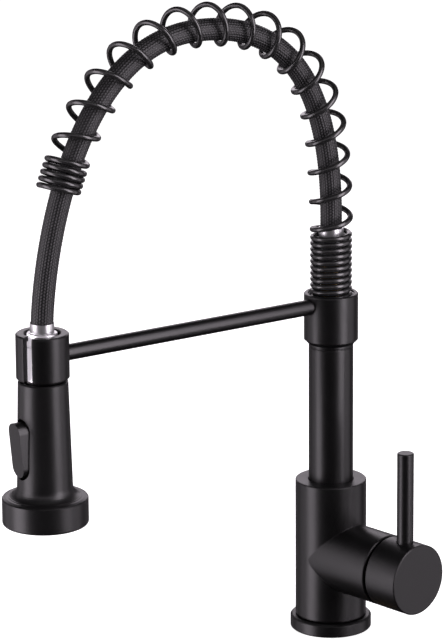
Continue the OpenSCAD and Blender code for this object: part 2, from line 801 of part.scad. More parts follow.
// A pipe along the path: the outer rings up, the inner rings back down, joined at both ends
module hose_pipe(r_out, r_in) {
    n = hose_sides;
    loops = concat([for (i = [0 : hose_rings]) hose_ring(i, r_out)],
        [for (i = [0 : hose_rings]) hose_ring(hose_rings - i, r_in)]);
    m = len(loops);
    faces = concat(
        [for (i = [0 : m - 1], k = [0 : n - 1]) [i * n + k, i * n + (k + 1) % n, ((i + 1) % m) * n + k]],
        [for (i = [0 : m - 1], k = [0 : n - 1])
            [((i + 1) % m) * n + k, i * n + (k + 1) % n, ((i + 1) % m) * n + (k + 1) % n]]);
    polyhedron(points = [for (ring = loops) each ring], faces = faces);
}

module hose_braid() {
    color(braid_black) on_spout() hose_pipe(hose_r, braid_in_r);
}

module hose_tube() {
    color(grey_resin) on_spout() hose_pipe(tube_r, tube_in_r);
}

// Arm and dock

module arm() {
    color(matte_black) on_spout() translate([0, -arm_root - fit, arm_z]) rotate([90, 0, 0])
        cylinder(r = arm_r, h = arm_end - arm_root - 2 * fit);
}

module ring_slot(w, r) {
    rotate([0, 0, slot_turn]) translate([-w / 2, -r - over, dock_z - over])
        cube([w, r + over, dock_h + 2 * over]);
}

module dock() {
    color(matte_black) on_spray() difference() {
        lathe([[dock_socket_r, dock_z], [dock_r - 1.2, dock_z], [dock_r, dock_z + 1.2],
            [dock_r, dock_top - 0.8], [dock_r - 0.8, dock_top], [dock_bore_r + 0.5, dock_top],
            [dock_bore_r, dock_top - 0.5], [dock_bore_r, dock_top - dock_lip_h],
            [dock_socket_r, dock_top - dock_lip_h]]);
        ring_slot(slot_w, dock_r);
        translate([0, reach - arm_end, arm_z]) rotate([-90, 0, 0]) cylinder(r = arm_r + fit, h = dock_r);
    }
}

module dock_liner() {
    color(rubber) on_spray() difference() {
        tube(dock_socket_r - fit, neck_low_r + 0.4, dock_z + 0.4, dock_top - dock_lip_h - 0.1);
        ring_slot(slot_w + 0.4, dock_r);
    }
}

// Spray head

module upper_ferrule() {
    color(chrome) on_spray() {
        difference() {
            rod(ferrule_r, ferrule_z, ferrule_z + ferrule_h);
            rod(ferrule_in_r, hose_end_z - 0.1, ferrule_z + ferrule_h + over);
            rod(stem_r + fit, ferrule_z - over, hose_end_z);
        }
    }
}

module swivel_stem() {
    color(brass) on_spray() difference() {
        union() {
            rod(stem_r, pocket_top - 3, hose_end_z - 0.1);
            rod(pocket_r - 0.2, pocket_top - swivel_h, pocket_top - 0.2);
            rod(barb_r - 0.35, hose_end_z - over, hose_end_z + 5);
        }
        rod(barb_r - 1.3, pocket_top - swivel_h - over, hose_end_z + 5 + over);
    }
}

module neck_nut() {
    color(chrome) on_spray() difference() {
        lathe([[0, neck_foot], [thread_r, neck_foot], [thread_r, head_top + 0.7],
            [neck_low_r, head_top + 0.7], [neck_low_r - 0.7, neck_step_z], [neck_out_r, neck_step_z],
            [neck_out_r - 0.2, nut_top - 2.2], [neck_tip_r, nut_top - 0.3], [neck_tip_r - 0.6, nut_top],
            [0, nut_top]]);
        rod(pocket_r, neck_foot - over, pocket_top);
        rod(stem_r + run, pocket_top - over, nut_top + over);
    }
}

module neck_washer() {
    washer_top = pocket_top - swivel_h - washer_gap;
    color(rubber) on_spray() tube(pocket_r - 0.2, 3.4, washer_top - neck_washer_t, washer_top);
}

// Outline of the spray head from its top to the nozzle ring, with the cove as an arc
module head_solid() {
    arc = [for (a = [180 : 10 : 270])
        [head_low_r + cove_r + cove_r * cos(a), nozzle_top + 0.6 + cove_r + cove_r * sin(a)]];
    lathe(concat([[0, head_top], [head_top_r - 0.6, head_top], [head_top_r, head_top - 0.6]], arc,
        [[nozzle_r - 0.5, nozzle_top + fit], [0, nozzle_top + fit]]));
}

module spray_shell() {
    color(matte_black) on_spray() difference() {
        union() {
            difference() {
                union() {
                    head_solid();
                    rod(skirt_r, skirt_z, nozzle_top + over);
                }
                lathe([[0, skirt_z - over], [skirt_in_r, skirt_z - over], [skirt_in_r, skirt_z + 6],
                    [cavity_r, skirt_z + 18], [cavity_r, core_top + 0.3], [0, core_top + 0.3]]);
            }
            intersection() {
                head_solid();
                translate([0, 0, recess_z])
                    stadium(recess_w + 3.2, recess_h + 3.2, floor_y - floor_t, dock_r + 6);
            }
        }
        rod(thread_r + fit, core_top - over, head_top + over);
        translate([0, 0, recess_z]) stadium(recess_w, recess_h, floor_y, dock_r + 8);
        translate([-2.2, -floor_y - over, recess_z - 3.4]) cube([4.4, floor_t + 2 * over, 6.8]);
        translate([-recess_w / 2 - 1.3, -rocker_pivot_y, recess_z]) rotate([0, 90, 0])
            cylinder(r = rocker_pin_r + 0.02, h = recess_w + 2.6);
    }
}

module waterway() {
    color(white_resin) on_spray() difference() {
        union() {
            rod(skirt_in_r - 0.2, core_base_z, core_base_z + 3.6);
            difference() {
                rod(core_r, core_base_z + 3.5, core_top);
                translate([-core_r - over, -core_r - over, recess_z - recess_h / 2 - 3])
                    cube([2 * (core_r + over), core_r + over - floor_y + floor_t + pass, recess_h + 6]);
            }
            rod(pocket_r - 0.15, core_top - over, waterway_top);
        }
        rod(4.8, core_top + 0.3, pocket_top);
        translate([0, 2.5, 0]) rod(2, recess_z, core_top + over);
        translate([0, -spool_y, 0]) rod(spool_r + run, recess_z - 13, recess_z + 14);
        translate([-2, -core_r, recess_z - 4.5]) cube([4, core_r - spool_y, 9]);
        translate([0, -spool_y, recess_z + 7]) rotate([-90, 0, 0]) cylinder(r = 1.6, h = spool_y + 2.5);
        translate([0, -spool_y, 0]) rod(1.8, core_base_z - over, recess_z - 12);
        translate([7.5, -spool_y, 0]) rod(1.8, core_base_z - over, recess_z + 8.5);
        translate([0, -spool_y, recess_z + 8.5]) rotate([0, 90, 0]) cylinder(r = 1.4, h = 7.5);
    }
}

module check_valve() {
    color(grey_resin) on_spray() tube(4.7, 2, core_top + 0.5, waterway_top - 0.5);
}

module nozzle_ring() {
    low_edge = 1.6;
    round_pts = [for (a = [270 : 15 : 360])
        [nozzle_r - low_edge + low_edge * cos(a), nozzle_z + low_edge + low_edge * sin(a)]];
    color(matte_black) on_spray() lathe(concat([[skirt_r - 1.2, nozzle_z]], round_pts,
        [[nozzle_r, nozzle_top - 0.6], [nozzle_r - 0.6, nozzle_top], [skirt_r + 0.1, nozzle_top],
            [skirt_r + 0.1, face_z], [skirt_r - 1.2, face_z]]));
}

module nub_places() {
    for (ring = [0, 1], k = [0 : nub_counts[ring] - 1])
        rotate([0, 0, 360 * k / nub_counts[ring]]) translate([nub_radii[ring], 0, 0]) children();
}

module nozzle_face() {
    color(grey_resin) on_spray() difference() {
        tube(skirt_r - 0.1, aerator_r + 0.2, face_z + 0.1, face_z + face_t);
        nub_places() rod(nub_r + 0.1, face_z - over, face_z + face_t + over);
    }
}

module spray_nubs() {
    pad_z = face_z + face_t + fit;
    color(rubber) on_spray() {
        tube(skirt_r - 1.2, aerator_r + 0.2, pad_z, pad_z + pad_t);
        nub_places() rod(nub_r, nozzle_z + 0.4, pad_z + 0.2);
    }
}

module aerator_housing() {
    color(chrome) on_spray() tube(aerator_r, aerator_r - 1.8, nozzle_z + 0.8, core_base_z - 0.2);
}

module aerator_insert() {
    color(white_resin) on_spray() difference() {
        rod(aerator_r - 1.85, nozzle_z + 1.8, nozzle_z + 3.6);
        rod(0.7, nozzle_z, nozzle_z + 5);
        for (ring = [1 : 3], k = [0 : 6 * ring - 1])
            rotate([0, 0, 60 * k / ring]) translate([2.3 * ring, 0, 0]) rod(0.7, nozzle_z, nozzle_z + 5);
    }
}

module nozzle_gasket() {
    pad_top = face_z + face_t + fit + pad_t;
    color(rubber) on_spray() tube(skirt_r - 0.1, skirt_in_r + 0.1, pad_top + fit, skirt_z - fit);
}

module rocker_pin() {
    color(steel) on_spray() translate([-recess_w / 2 - 1.2, -rocker_pivot_y, recess_z]) rotate([0, 90, 0])
        cylinder(r = rocker_pin_r, h = recess_w + 2.4);
}

module rocker() {
    color(matte_black) on_spray() translate([0, 0, recess_z]) difference() {
        union() {
            difference() {
                stadium(rocker_w, rocker_h, floor_y + 1.6, rocker_face_y + 5);
                // front face, leaning out at its top
                translate([0, -rocker_face_y, 0]) rotate([rocker_lean, 0, 0])
                    translate([-recess_w, -12, -recess_h]) cube([2 * recess_w, 12, 2 * recess_h]);
                // relief behind the top half, which lets that end swing in
                translate([0, -floor_y - 1.6, 0]) rotate([rocker_swing, 0, 0])
                    translate([-recess_w, 0, -0.01]) cube([2 * recess_w, 20, recess_h]);
            }
            translate([-rocker_w / 2 + 0.4, -rocker_pivot_y, 0]) rotate([0, 90, 0])
                cylinder(r = knuckle_r, h = rocker_w - 0.8);
            translate([-1.5, -rocker_pivot_y, -0.8]) cube([3, rocker_pivot_y - spool_y - 1.2, 1.6]);
        }
        translate([-rocker_w, -rocker_pivot_y, 0]) rotate([0, 90, 0])
            cylinder(r = rocker_pin_r + run, h = 2 * rocker_w);
    }
}

module diverter_spool() {
    color(brass) on_spray() translate([0, -spool_y, recess_z]) difference() {
        rod(spool_r, -10.5, 11);
        tube(spool_r + over, 1, -1.25, 1.25);
        for (z = [-8, 8.5]) tube(spool_r + over, 1.7, z - 0.6, z + 0.6);
    }
}

module spool_seals() {
    color(rubber) on_spray() translate([0, -spool_y, recess_z]) for (z = [-8, 8.5]) o_ring(2.19, 0.45, z);
}

base_ring();
deck_seal();
valve_body();
mounting_shank();
rubber_washer();
steel_washer();
mounting_nut();
slip_washer();
swivel_screw();
cartridge_seals();
cartridge_base();
fixed_disc();
cartridge_housing();
retaining_nut();
cartridge_turret();
pivot_plate();
turret_screws();
pivot_pin();
moving_disc();
disc_driver();
stem_yoke();
handle_cap();
lever();
handle_screw();
riser();
riser_stub();
riser_seals();
hub();
hub_lip();
hub_screw();
riser_plug();
outlet_nipple();
lower_ferrule();
spring();
hose_braid();
hose_tube();
arm();
dock();
dock_liner();
upper_ferrule();
swivel_stem();
neck_nut();
neck_washer();
spray_shell();
waterway();
check_valve();
nozzle_ring();
nozzle_face();
spray_nubs();
aerator_housing();
aerator_insert();
nozzle_gasket();
rocker_pin();
rocker();
diverter_spool();
spool_seals();
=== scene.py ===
import json
import math

import bpy
from mathutils import Matrix, Vector

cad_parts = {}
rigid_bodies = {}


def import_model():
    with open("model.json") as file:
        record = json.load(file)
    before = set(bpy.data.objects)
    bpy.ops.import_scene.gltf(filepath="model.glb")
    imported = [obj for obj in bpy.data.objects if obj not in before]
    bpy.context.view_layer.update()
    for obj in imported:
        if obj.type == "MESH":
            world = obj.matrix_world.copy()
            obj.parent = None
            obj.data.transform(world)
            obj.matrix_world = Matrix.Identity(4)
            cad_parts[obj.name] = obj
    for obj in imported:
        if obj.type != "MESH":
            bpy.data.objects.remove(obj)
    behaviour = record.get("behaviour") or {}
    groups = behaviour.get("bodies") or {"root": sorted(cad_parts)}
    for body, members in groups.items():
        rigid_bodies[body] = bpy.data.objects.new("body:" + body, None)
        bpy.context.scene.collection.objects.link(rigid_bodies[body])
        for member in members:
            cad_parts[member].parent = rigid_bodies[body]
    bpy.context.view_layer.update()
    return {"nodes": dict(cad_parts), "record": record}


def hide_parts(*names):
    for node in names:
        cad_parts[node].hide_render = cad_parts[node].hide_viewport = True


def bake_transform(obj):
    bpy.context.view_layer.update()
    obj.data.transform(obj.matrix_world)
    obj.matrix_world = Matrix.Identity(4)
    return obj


for thing in list(bpy.data.objects):
    bpy.data.objects.remove(thing)
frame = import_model()

mm = 0.001  # the pieces' own sizes are in millimetres, the camera's and the studio's in metres
spoutTurn = math.radians(-9)  # the arch reaches along -Y, turned this far about the riser
acrossArch = Vector((math.cos(spoutTurn), math.sin(spoutTurn), 0))  # square to the plane of the arch


def inSpout(x, y, z):
    return Matrix.Rotation(spoutTurn, 3, "Z") @ Vector((x, y, z))


def towards(degrees):  # a level direction, turned from -Y towards +X
    return Vector((math.sin(math.radians(degrees)), -math.cos(math.radians(degrees)), 0))


def addObject(name, data):
    made = bpy.data.objects.new(name, data)
    bpy.context.scene.collection.objects.link(made)
    return made


# camera: angles in degrees, lens and sensor in millimetres
camera = {"azimuth": 44.89, "distance": 2.1339, "height": 0.7809, "heading": 46.709, "pitch": 13.638,
          "roll": -0.381, "lens": 198.84, "sensor": 36, "shift": -0.15, "nearest": 0.1, "farthest": 40}


def makeCamera():
    data = bpy.data.cameras.new("camera")
    data.lens, data.sensor_width = camera["lens"], camera["sensor"]
    data.shift_y = camera["shift"]
    data.clip_start, data.clip_end = camera["nearest"], camera["farthest"]
    eye = addObject("camera", data)
    turn = (Matrix.Rotation(math.radians(camera["heading"]), 4, "Z")
            @ Matrix.Rotation(math.radians(90 - camera["pitch"]), 4, "X")
            @ Matrix.Rotation(math.radians(camera["roll"]), 4, "Z"))
    place = towards(camera["azimuth"]) * camera["distance"] + Vector((0, 0, camera["height"]))
    eye.matrix_world = Matrix.Translation(place) @ turn
    bpy.context.scene.camera = eye


makeCamera()
print("camera made")


# node helpers: a value that is a socket gets linked, any other is set
def addNode(tree, kind, inputs=None, **settings):
    made = tree.nodes.new(kind)
    for key, value in settings.items():
        setattr(made, key, value)
    for key, value in (inputs or {}).items():
        if isinstance(value, bpy.types.NodeSocket):
            tree.links.new(value, made.inputs[key])
        else:
            made.inputs[key].default_value = value
    return made


def calc(tree, operation, *terms):
    return addNode(tree, "ShaderNodeMath", dict(enumerate(terms)), operation=operation).outputs[0]


def vecCalc(tree, operation, *terms):
    return addNode(tree, "ShaderNodeVectorMath", dict(enumerate(terms)), operation=operation).outputs[0]


def scaled(tree, direction, amount):
    terms = {0: direction, "Scale": amount}
    return addNode(tree, "ShaderNodeVectorMath", terms, operation="SCALE").outputs[0]


def mapped(tree, value, low=0.0, high=1.0, toLow=0.0, toHigh=1.0, **settings):
    ends = {0: value, 1: low, 2: high, 3: toLow, 4: toHigh}
    return addNode(tree, "ShaderNodeMapRange", ends, **settings).outputs[0]


def mixColors(tree, share, first, second):
    return addNode(tree, "ShaderNodeMix", {0: share, 6: first, 7: second}, data_type="RGBA").outputs[2]


def objectPlace(tree):
    return addNode(tree, "ShaderNodeTexCoord").outputs["Object"]


def newGroup(name, kind, inputs, outputs):
    tree = bpy.data.node_groups.new(name, kind)
    for label, (sort, value) in inputs.items():
        socket = tree.interface.new_socket(name=label, in_out="INPUT", socket_type="NodeSocket" + sort)
        if value is not None:
            socket.default_value = value
    for label, sort in outputs.items():
        tree.interface.new_socket(name=label, in_out="OUTPUT", socket_type="NodeSocket" + sort)
    return tree, tree.nodes.new("NodeGroupInput").outputs, tree.nodes.new("NodeGroupOutput")


# the grain that all the finishes share
grain = {"fineDetail": 3.0, "cloudDetail": 4.0, "cloudShare": 0.6, "fleckRange": (0.45, 0.7),
         "roughRange": (0.3, 0.7)}


def makeGrainGroup():
    tree, given, out = newGroup("finishGrain", "ShaderNodeTree", {
        "Color": ("Color", (0.02, 0.02, 0.02, 1)), "Fleck Color": ("Color", (0.03, 0.03, 0.03, 1)),
        "Grain Scale": ("Float", 2600.0), "Cloud Scale": ("Float", 60.0), "Fleck Amount": ("Float", 0.4),
        "Rough Low": ("Float", 0.36), "Rough High": ("Float", 0.46), "Stretch": ("Vector", (1.0, 1.0, 1.0))},
        {"Color": "Color", "Roughness": "Float", "Height": "Float"})
    place = vecCalc(tree, "MULTIPLY", objectPlace(tree), given["Stretch"])
    fine = addNode(tree, "ShaderNodeTexNoise", {"Vector": place, "Scale": given["Grain Scale"],
                   "Detail": grain["fineDetail"]}).outputs[0]
    cloud = addNode(tree, "ShaderNodeTexNoise", {"Vector": place, "Scale": given["Cloud Scale"],
                    "Detail": grain["cloudDetail"]}).outputs[0]
    fleck = calc(tree, "MULTIPLY", mapped(tree, fine, *grain["fleckRange"]), given["Fleck Amount"])
    uneven = calc(tree, "ADD", calc(tree, "MULTIPLY", cloud, grain["cloudShare"]),
                  calc(tree, "MULTIPLY", fine, 1 - grain["cloudShare"]))
    rough = mapped(tree, uneven, *grain["roughRange"], given["Rough Low"], given["Rough High"])
    tree.links.new(mixColors(tree, fleck, given["Color"], given["Fleck Color"]), out.inputs["Color"])
    tree.links.new(rough, out.inputs["Roughness"])
    tree.links.new(fine, out.inputs["Height"])
    return tree


grainGroup = makeGrainGroup()

# finishes: a key with a capital is an input of the grain, the others are read in grainyMaterial, with
# their lengths in millimetres
finishes = {
    "body_black": {"Color": (0.001, 0.0009, 0.001, 1), "Fleck Color": (0.004, 0.004, 0.0042, 1),
                   "Rough Low": 0.33, "Rough High": 0.4, "edge": 1.0},
    "spring_black": {"Color": (0.008, 0.0078, 0.008, 1), "Fleck Color": (0.02, 0.02, 0.0205, 1),
                     "Rough Low": 0.24, "Rough High": 0.3, "specular": 0.88},
    "spray_black": {"Color": (0.003, 0.0028, 0.003, 1), "Fleck Color": (0.008, 0.008, 0.0085, 1),
                    "Rough Low": 0.33, "Rough High": 0.4},
    "hose_braid": {"Color": (0.034, 0.033, 0.035, 1), "Fleck Color": (0.08, 0.078, 0.082, 1),
                   "Rough Low": 0.35, "Rough High": 0.5, "Grain Scale": 1800.0, "Cloud Scale": 120.0,
                   "Fleck Amount": 0.8, "bump": 0.5, "depth": 0.1, "specular": 0.36,
                   # the valley colour is painted shade between the strands
                   "valley": (0.0005, 0.0005, 0.0005, 1), "crestRange": (0.35, 0.8)},
    "hose_tube": {"Color": (0.3, 0.3, 0.3, 1), "Rough Low": 0.5, "Rough High": 0.6},
    "bright_chrome": {"Color": (0.7, 0.7, 0.71, 1), "Rough Low": 0.3, "Rough High": 0.38, "metal": 0.92,
                      # a painted shade band on the neck's foot, below the given heights in millimetres
                      "bump": 0.05, "seat": (0.004, 0.004, 0.004, 1), "seatRange": (199.2, 199.4)},
    "brass": {"Color": (0.72, 0.5, 0.22, 1), "Rough Low": 0.26, "Rough High": 0.38, "metal": 1.0,
              "Grain Scale": 300.0, "Stretch": (1.0, 1.0, 8.0)},
    "steel": {"Color": (0.55, 0.55, 0.56, 1), "Rough Low": 0.24, "Rough High": 0.36, "metal": 1.0,
              "Grain Scale": 300.0, "Stretch": (1.0, 1.0, 8.0)},
    "rubber": {"Color": (0.022, 0.022, 0.022, 1), "Fleck Color": (0.04, 0.04, 0.04, 1),
               "Rough Low": 0.6, "Rough High": 0.75},
    "white_resin": {"Color": (0.72, 0.71, 0.67, 1), "Rough Low": 0.38, "Rough High": 0.5},
    "grey_resin": {"Color": (0.24, 0.25, 0.27, 1), "Fleck Color": (0.3, 0.31, 0.33, 1),
                   "Rough Low": 0.4, "Rough High": 0.52},
    "ceramic": {"Color": (0.8, 0.8, 0.76, 1), "Rough Low": 0.16, "Rough High": 0.26},
}


def grainyMaterial(name, look):
    made = bpy.data.materials.new(name)
    made.use_nodes = True
    tree = made.node_tree
    shader = tree.nodes["Principled BSDF"]
    skin = addNode(tree, "ShaderNodeGroup", node_tree=grainGroup)
    for label, value in {"Fleck Color": look["Color"], **look}.items():
        if label in skin.inputs:
            skin.inputs[label].default_value = value
    color = skin.outputs["Color"]
    if "seat" in look:  # painted shade at the foot of the neck, where it sits in the spray head
        height = addNode(tree, "ShaderNodeSeparateXYZ", {0: objectPlace(tree)}).outputs[2]
        low, high = look["seatRange"]
        color = mixColors(tree, mapped(tree, height, low * mm, high * mm), look["seat"], color)
    if "valley" in look:  # painted shade between the strands
        crest = addNode(tree, "ShaderNodeAttribute", attribute_name="crest").outputs["Fac"]
        color = mixColors(tree, mapped(tree, crest, *look["crestRange"]), look["valley"], color)
    bump = addNode(tree, "ShaderNodeBump", {"Strength": look.get("bump", 0.2),
                   "Distance": look.get("depth", 0.05) * mm, "Height": skin.outputs["Height"]})
    if "edge" in look:  # shades edges and creases as if rounded by this radius
        soft = addNode(tree, "ShaderNodeBevel", {"Radius": look["edge"] * mm}, samples=4)
        tree.links.new(soft.outputs[0], bump.inputs["Normal"])
    tree.links.new(color, shader.inputs["Base Color"])
    tree.links.new(skin.outputs["Roughness"], shader.inputs["Roughness"])
    tree.links.new(bump.outputs[0], shader.inputs["Normal"])
    shader.inputs["Metallic"].default_value = look.get("metal", 0.0)
    shader.inputs["Specular IOR Level"].default_value = look.get("specular", 0.5)
    return made


materials = {name: grainyMaterial(name, look) for name, look in finishes.items()}


# each carried-over piece gets the finish that its slot names
def dressFrame():
    slots = {part["node"]: part["material_slot"] for part in frame["record"]["subparts"]}
    for name, piece in frame["nodes"].items():
        piece.data.materials.clear()
        piece.data.materials.append(materials[slots[name]])


rocker = {"edge": 0.8, "segments": 3, "sharperThan": 35}  # millimetres, steps and degrees


def softenRocker():
    soft = frame["nodes"]["rocker"].modifiers.new("softEdges", "BEVEL")
    soft.width, soft.segments = rocker["edge"] * mm, rocker["segments"]
    soft.limit_method, soft.angle_limit = "ANGLE", math.radians(rocker["sharperThan"])


dressFrame()
softenRocker()
print("frame dressed")

# the line of the arch: heights above the deck, distances out from the riser, the shares of them that
# the handles of its two curves reach, and how many steps each curve has
arch = {"foot": 204.8, "bend": 268.0, "crown": 395.9, "crownOut": 99.1, "reach": 211.1, "end": 228.65,
        "riserRise": 0.363, "riserRound": 0.899, "sprayRound": 0.85, "sprayRise": 0.163, "steps": 220}


def cubic(points, t):
    weights = ((1 - t) ** 3, 3 * (1 - t) ** 2 * t, 3 * (1 - t) * t * t, t ** 3)
    return tuple(sum(w * p[k] for w, p in zip(weights, points)) for k in (0, 1))


def archLine():
    bend, crown, out, end = arch["bend"], arch["crown"], arch["crownOut"], arch["end"]
    riserSide = ((0, bend), (0, bend + arch["riserRise"] * (crown - bend)),
                 (-out * (1 - arch["riserRound"]), crown), (-out, crown))
    spraySide = ((-out, crown), (-out - arch["sprayRound"] * (arch["reach"] - out), crown),
                 (-arch["reach"], end + arch["sprayRise"] * (crown - end)), (-arch["reach"], end))
    steps = arch["steps"]
    line = [(0, arch["foot"])]
    line += [cubic(riserSide, i / steps) for i in range(steps)]
    line += [cubic(spraySide, i / steps) for i in range(steps + 1)]
    return [inSpout(0, y * mm, z * mm) for y, z in line]


archPoints = archLine()


def flexWithHose(piece):  # bakes the piece's placement into its mesh
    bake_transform(piece)


def lineObject(name, points):
    mesh = bpy.data.meshes.new(name)
    mesh.from_pydata([tuple(p) for p in points], [(i, i + 1) for i in range(len(points) - 1)], [])
    return addObject(name, mesh)


# what the spring's and the hose's trees share
def numberSockets(sizes):
    return {label: ("Int" if isinstance(value, int) else "Float", value) for label, value in sizes.items()}


def ringCurve(tree, sides, radius):
    return addNode(tree, "GeometryNodeCurvePrimitiveCircle",
                   {"Resolution": sides, "Radius": calc(tree, "MULTIPLY", radius, mm)}).outputs[0]


def swept(tree, rail, ring):
    return addNode(tree, "GeometryNodeCurveToMesh",
                   {"Curve": rail, "Profile Curve": ring, "Fill Caps": True}).outputs[0]


def endTree(tree, shape, given, out):
    smooth = addNode(tree, "GeometryNodeSetShadeSmooth", {"Geometry": shape}).outputs[0]
    real = addNode(tree, "GeometryNodeRealizeInstances", {0: smooth}).outputs[0]
    done = addNode(tree, "GeometryNodeSetMaterial", {"Geometry": real, "Material": given["Material"]})
    tree.links.new(done.outputs[0], out.inputs["Geometry"])


def bakeTree(piece, tree, values):
    modifier = piece.modifiers.new("shape", "NODES")
    modifier.node_group = tree
    keys = {item.name: item.identifier for item in tree.interface.items_tree if item.in_out == "INPUT"}
    for label, value in values.items():
        modifier[keys[label]] = value
    bpy.context.view_layer.update()
    shape = bpy.data.meshes.new_from_object(piece.evaluated_get(bpy.context.evaluated_depsgraph_get()))
    piece.modifiers.remove(modifier)
    piece.data = shape
    return piece


# spring: wound along the arch, its open coils shifting outwards until the hose lies on their inner side
spring = {"Wire Diameter": 3.5, "Close Diameter": 26.2, "Open Diameter": 27.44, "End Diameter": 27.05,
          "Close Pitch": 3.82, "End Pitch": 3.87, "Low Coils": 12.55, "Open Coils": 16.18, "Top Coils": 4.5,
          "Start Angle": 315.3, "Foot": 5.85, "Rest Radius": 7.09, "Lean From": 84.35, "Lean Length": 62.8,
          "Steps Per Coil": 40, "Sides": 14}
springEnd = 310.7  # height at which its free end stops on the spray side


def makeSpringTree():
    tree, given, out = newGroup("springCoil", "GeometryNodeTree", {
        "Line": ("Geometry", None), **numberSockets(spring), "Open Pitch": ("Float", 19.5),
        "Across": ("Vector", (1.0, 0.0, 0.0)), "Material": ("Material", None)}, {"Geometry": "Geometry"})
    opened = calc(tree, "ADD", given["Low Coils"], given["Open Coils"])
    allCoils = calc(tree, "ADD", opened, given["Top Coils"])
    steps = calc(tree, "ROUND", calc(tree, "MULTIPLY", allCoils, given["Steps Per Coil"]))
    dots = addNode(tree, "GeometryNodeMeshLine", {"Count": calc(tree, "ADD", steps, 1.0)}).outputs[0]
    index = addNode(tree, "GeometryNodeInputIndex").outputs[0]
    coil = calc(tree, "DIVIDE", index, given["Steps Per Coil"])

    def eased(value, middle):  # 0 to 1 over one coil round the middle
        return mapped(tree, value, calc(tree, "SUBTRACT", middle, 0.5), calc(tree, "ADD", middle, 0.5),
                      interpolation_type="SMOOTHSTEP")

    def blended(low, middle, high, at):
        first = calc(tree, "MULTIPLY", calc(tree, "SUBTRACT", middle, low), eased(at, given["Low Coils"]))
        second = calc(tree, "MULTIPLY", calc(tree, "SUBTRACT", high, middle), eased(at, opened))
        return calc(tree, "ADD", low, calc(tree, "ADD", first, second))

    # how far along the arch each dot is: the pitch is summed step by step
    halfBack = calc(tree, "SUBTRACT", coil, calc(tree, "DIVIDE", 0.5, given["Steps Per Coil"]))
    pitch = blended(given["Close Pitch"], given["Open Pitch"], given["End Pitch"], halfBack)
    step = calc(tree, "MULTIPLY", calc(tree, "DIVIDE", pitch, given["Steps Per Coil"]),
                calc(tree, "GREATER_THAN", index, 0.5))  # the first dot hasn't climbed
    climbed = addNode(tree, "GeometryNodeAccumulateField", {0: step}).outputs[0]
    along = calc(tree, "ADD", climbed, given["Foot"])

    # how far off the arch's line it is
    diameter = blended(given["Close Diameter"], given["Open Diameter"], given["End Diameter"], coil)
    radius = calc(tree, "MULTIPLY", calc(tree, "SUBTRACT", diameter, given["Wire Diameter"]), 0.5)
    wireRadius = calc(tree, "MULTIPLY", given["Wire Diameter"], 0.5)
    slack = calc(tree, "SUBTRACT", radius, calc(tree, "ADD", wireRadius, given["Rest Radius"]))
    leanEnd = calc(tree, "ADD", given["Lean From"], given["Lean Length"])
    lean = mapped(tree, along, given["Lean From"], leanEnd, interpolation_type="SMOOTHSTEP")
    drop = calc(tree, "MULTIPLY", slack, lean)
    start = calc(tree, "RADIANS", given["Start Angle"])
    turn = calc(tree, "ADD", calc(tree, "MULTIPLY", coil, math.tau), start)
    away = calc(tree, "ADD", drop, calc(tree, "MULTIPLY", radius, calc(tree, "COSINE", turn)))
    aside = calc(tree, "MULTIPLY", radius, calc(tree, "SINE", turn))

    rail = addNode(tree, "GeometryNodeMeshToCurve", {0: given["Line"]}).outputs[0]
    sample = addNode(tree, "GeometryNodeSampleCurve",
                     {"Curves": rail, "Length": calc(tree, "MULTIPLY", along, mm)}, mode="LENGTH").outputs
    outward = vecCalc(tree, "NORMALIZE", vecCalc(tree, "CROSS_PRODUCT", sample["Tangent"], given["Across"]))
    offset = scaled(tree, outward, calc(tree, "MULTIPLY", away, mm))
    sideways = scaled(tree, given["Across"], calc(tree, "MULTIPLY", aside, mm))
    place = vecCalc(tree, "SUBTRACT", vecCalc(tree, "ADD", sample["Position"], offset), sideways)
    bent = addNode(tree, "GeometryNodeSetPosition", {"Geometry": dots, "Position": place}).outputs[0]
    wire = addNode(tree, "GeometryNodeMeshToCurve", {0: bent}).outputs[0]
    endTree(tree, swept(tree, wire, ringCurve(tree, given["Sides"], wireRadius)), given, out)
    return tree


def lengthTo(height):  # along the arch to where its falling side passes this height
    crown = max(range(len(archPoints)), key=lambda i: archPoints[i].z)
    run = 0.0
    for i, (a, b) in enumerate(zip(archPoints, archPoints[1:])):
        if i >= crown and a.z >= height * mm > b.z:
            return run + (b - a).length * (a.z - height * mm) / (a.z - b.z)
        run += (b - a).length


def openPitch():  # what the close-wound ends leave for each open coil
    closed = spring["Low Coils"] * spring["Close Pitch"] + spring["Top Coils"] * spring["End Pitch"]
    return (lengthTo(springEnd) / mm - spring["Foot"] - closed) / spring["Open Coils"]


def makeSpring():
    piece = bakeTree(lineObject("springCoil", archPoints), makeSpringTree(), {
        **spring, "Open Pitch": openPitch(), "Across": acrossArch, "Material": materials["spring_black"]})
    flexWithHose(piece)
    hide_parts("spring")
    print("spring wound", len(piece.data.polygons))


makeSpring()

# hose: a braid of ribs with slanted strands, over a plain tube
hose = {"Radius": 6.45, "Relief": 0.42, "Ribs": 26, "Rib Power": 0.5, "Strand Pitch": 1.9,
        "Strand Slant": 0.5, "Strand Floor": 0.15, "Around": 104, "Ring Gap": 0.48}
hoseCore = {**hose, "Radius": 5.4, "Relief": 0.0, "Around": 24, "Ring Gap": 4.0}
hoseFrom = 34.4  # along the line of the arch, at the top of the outlet nipple


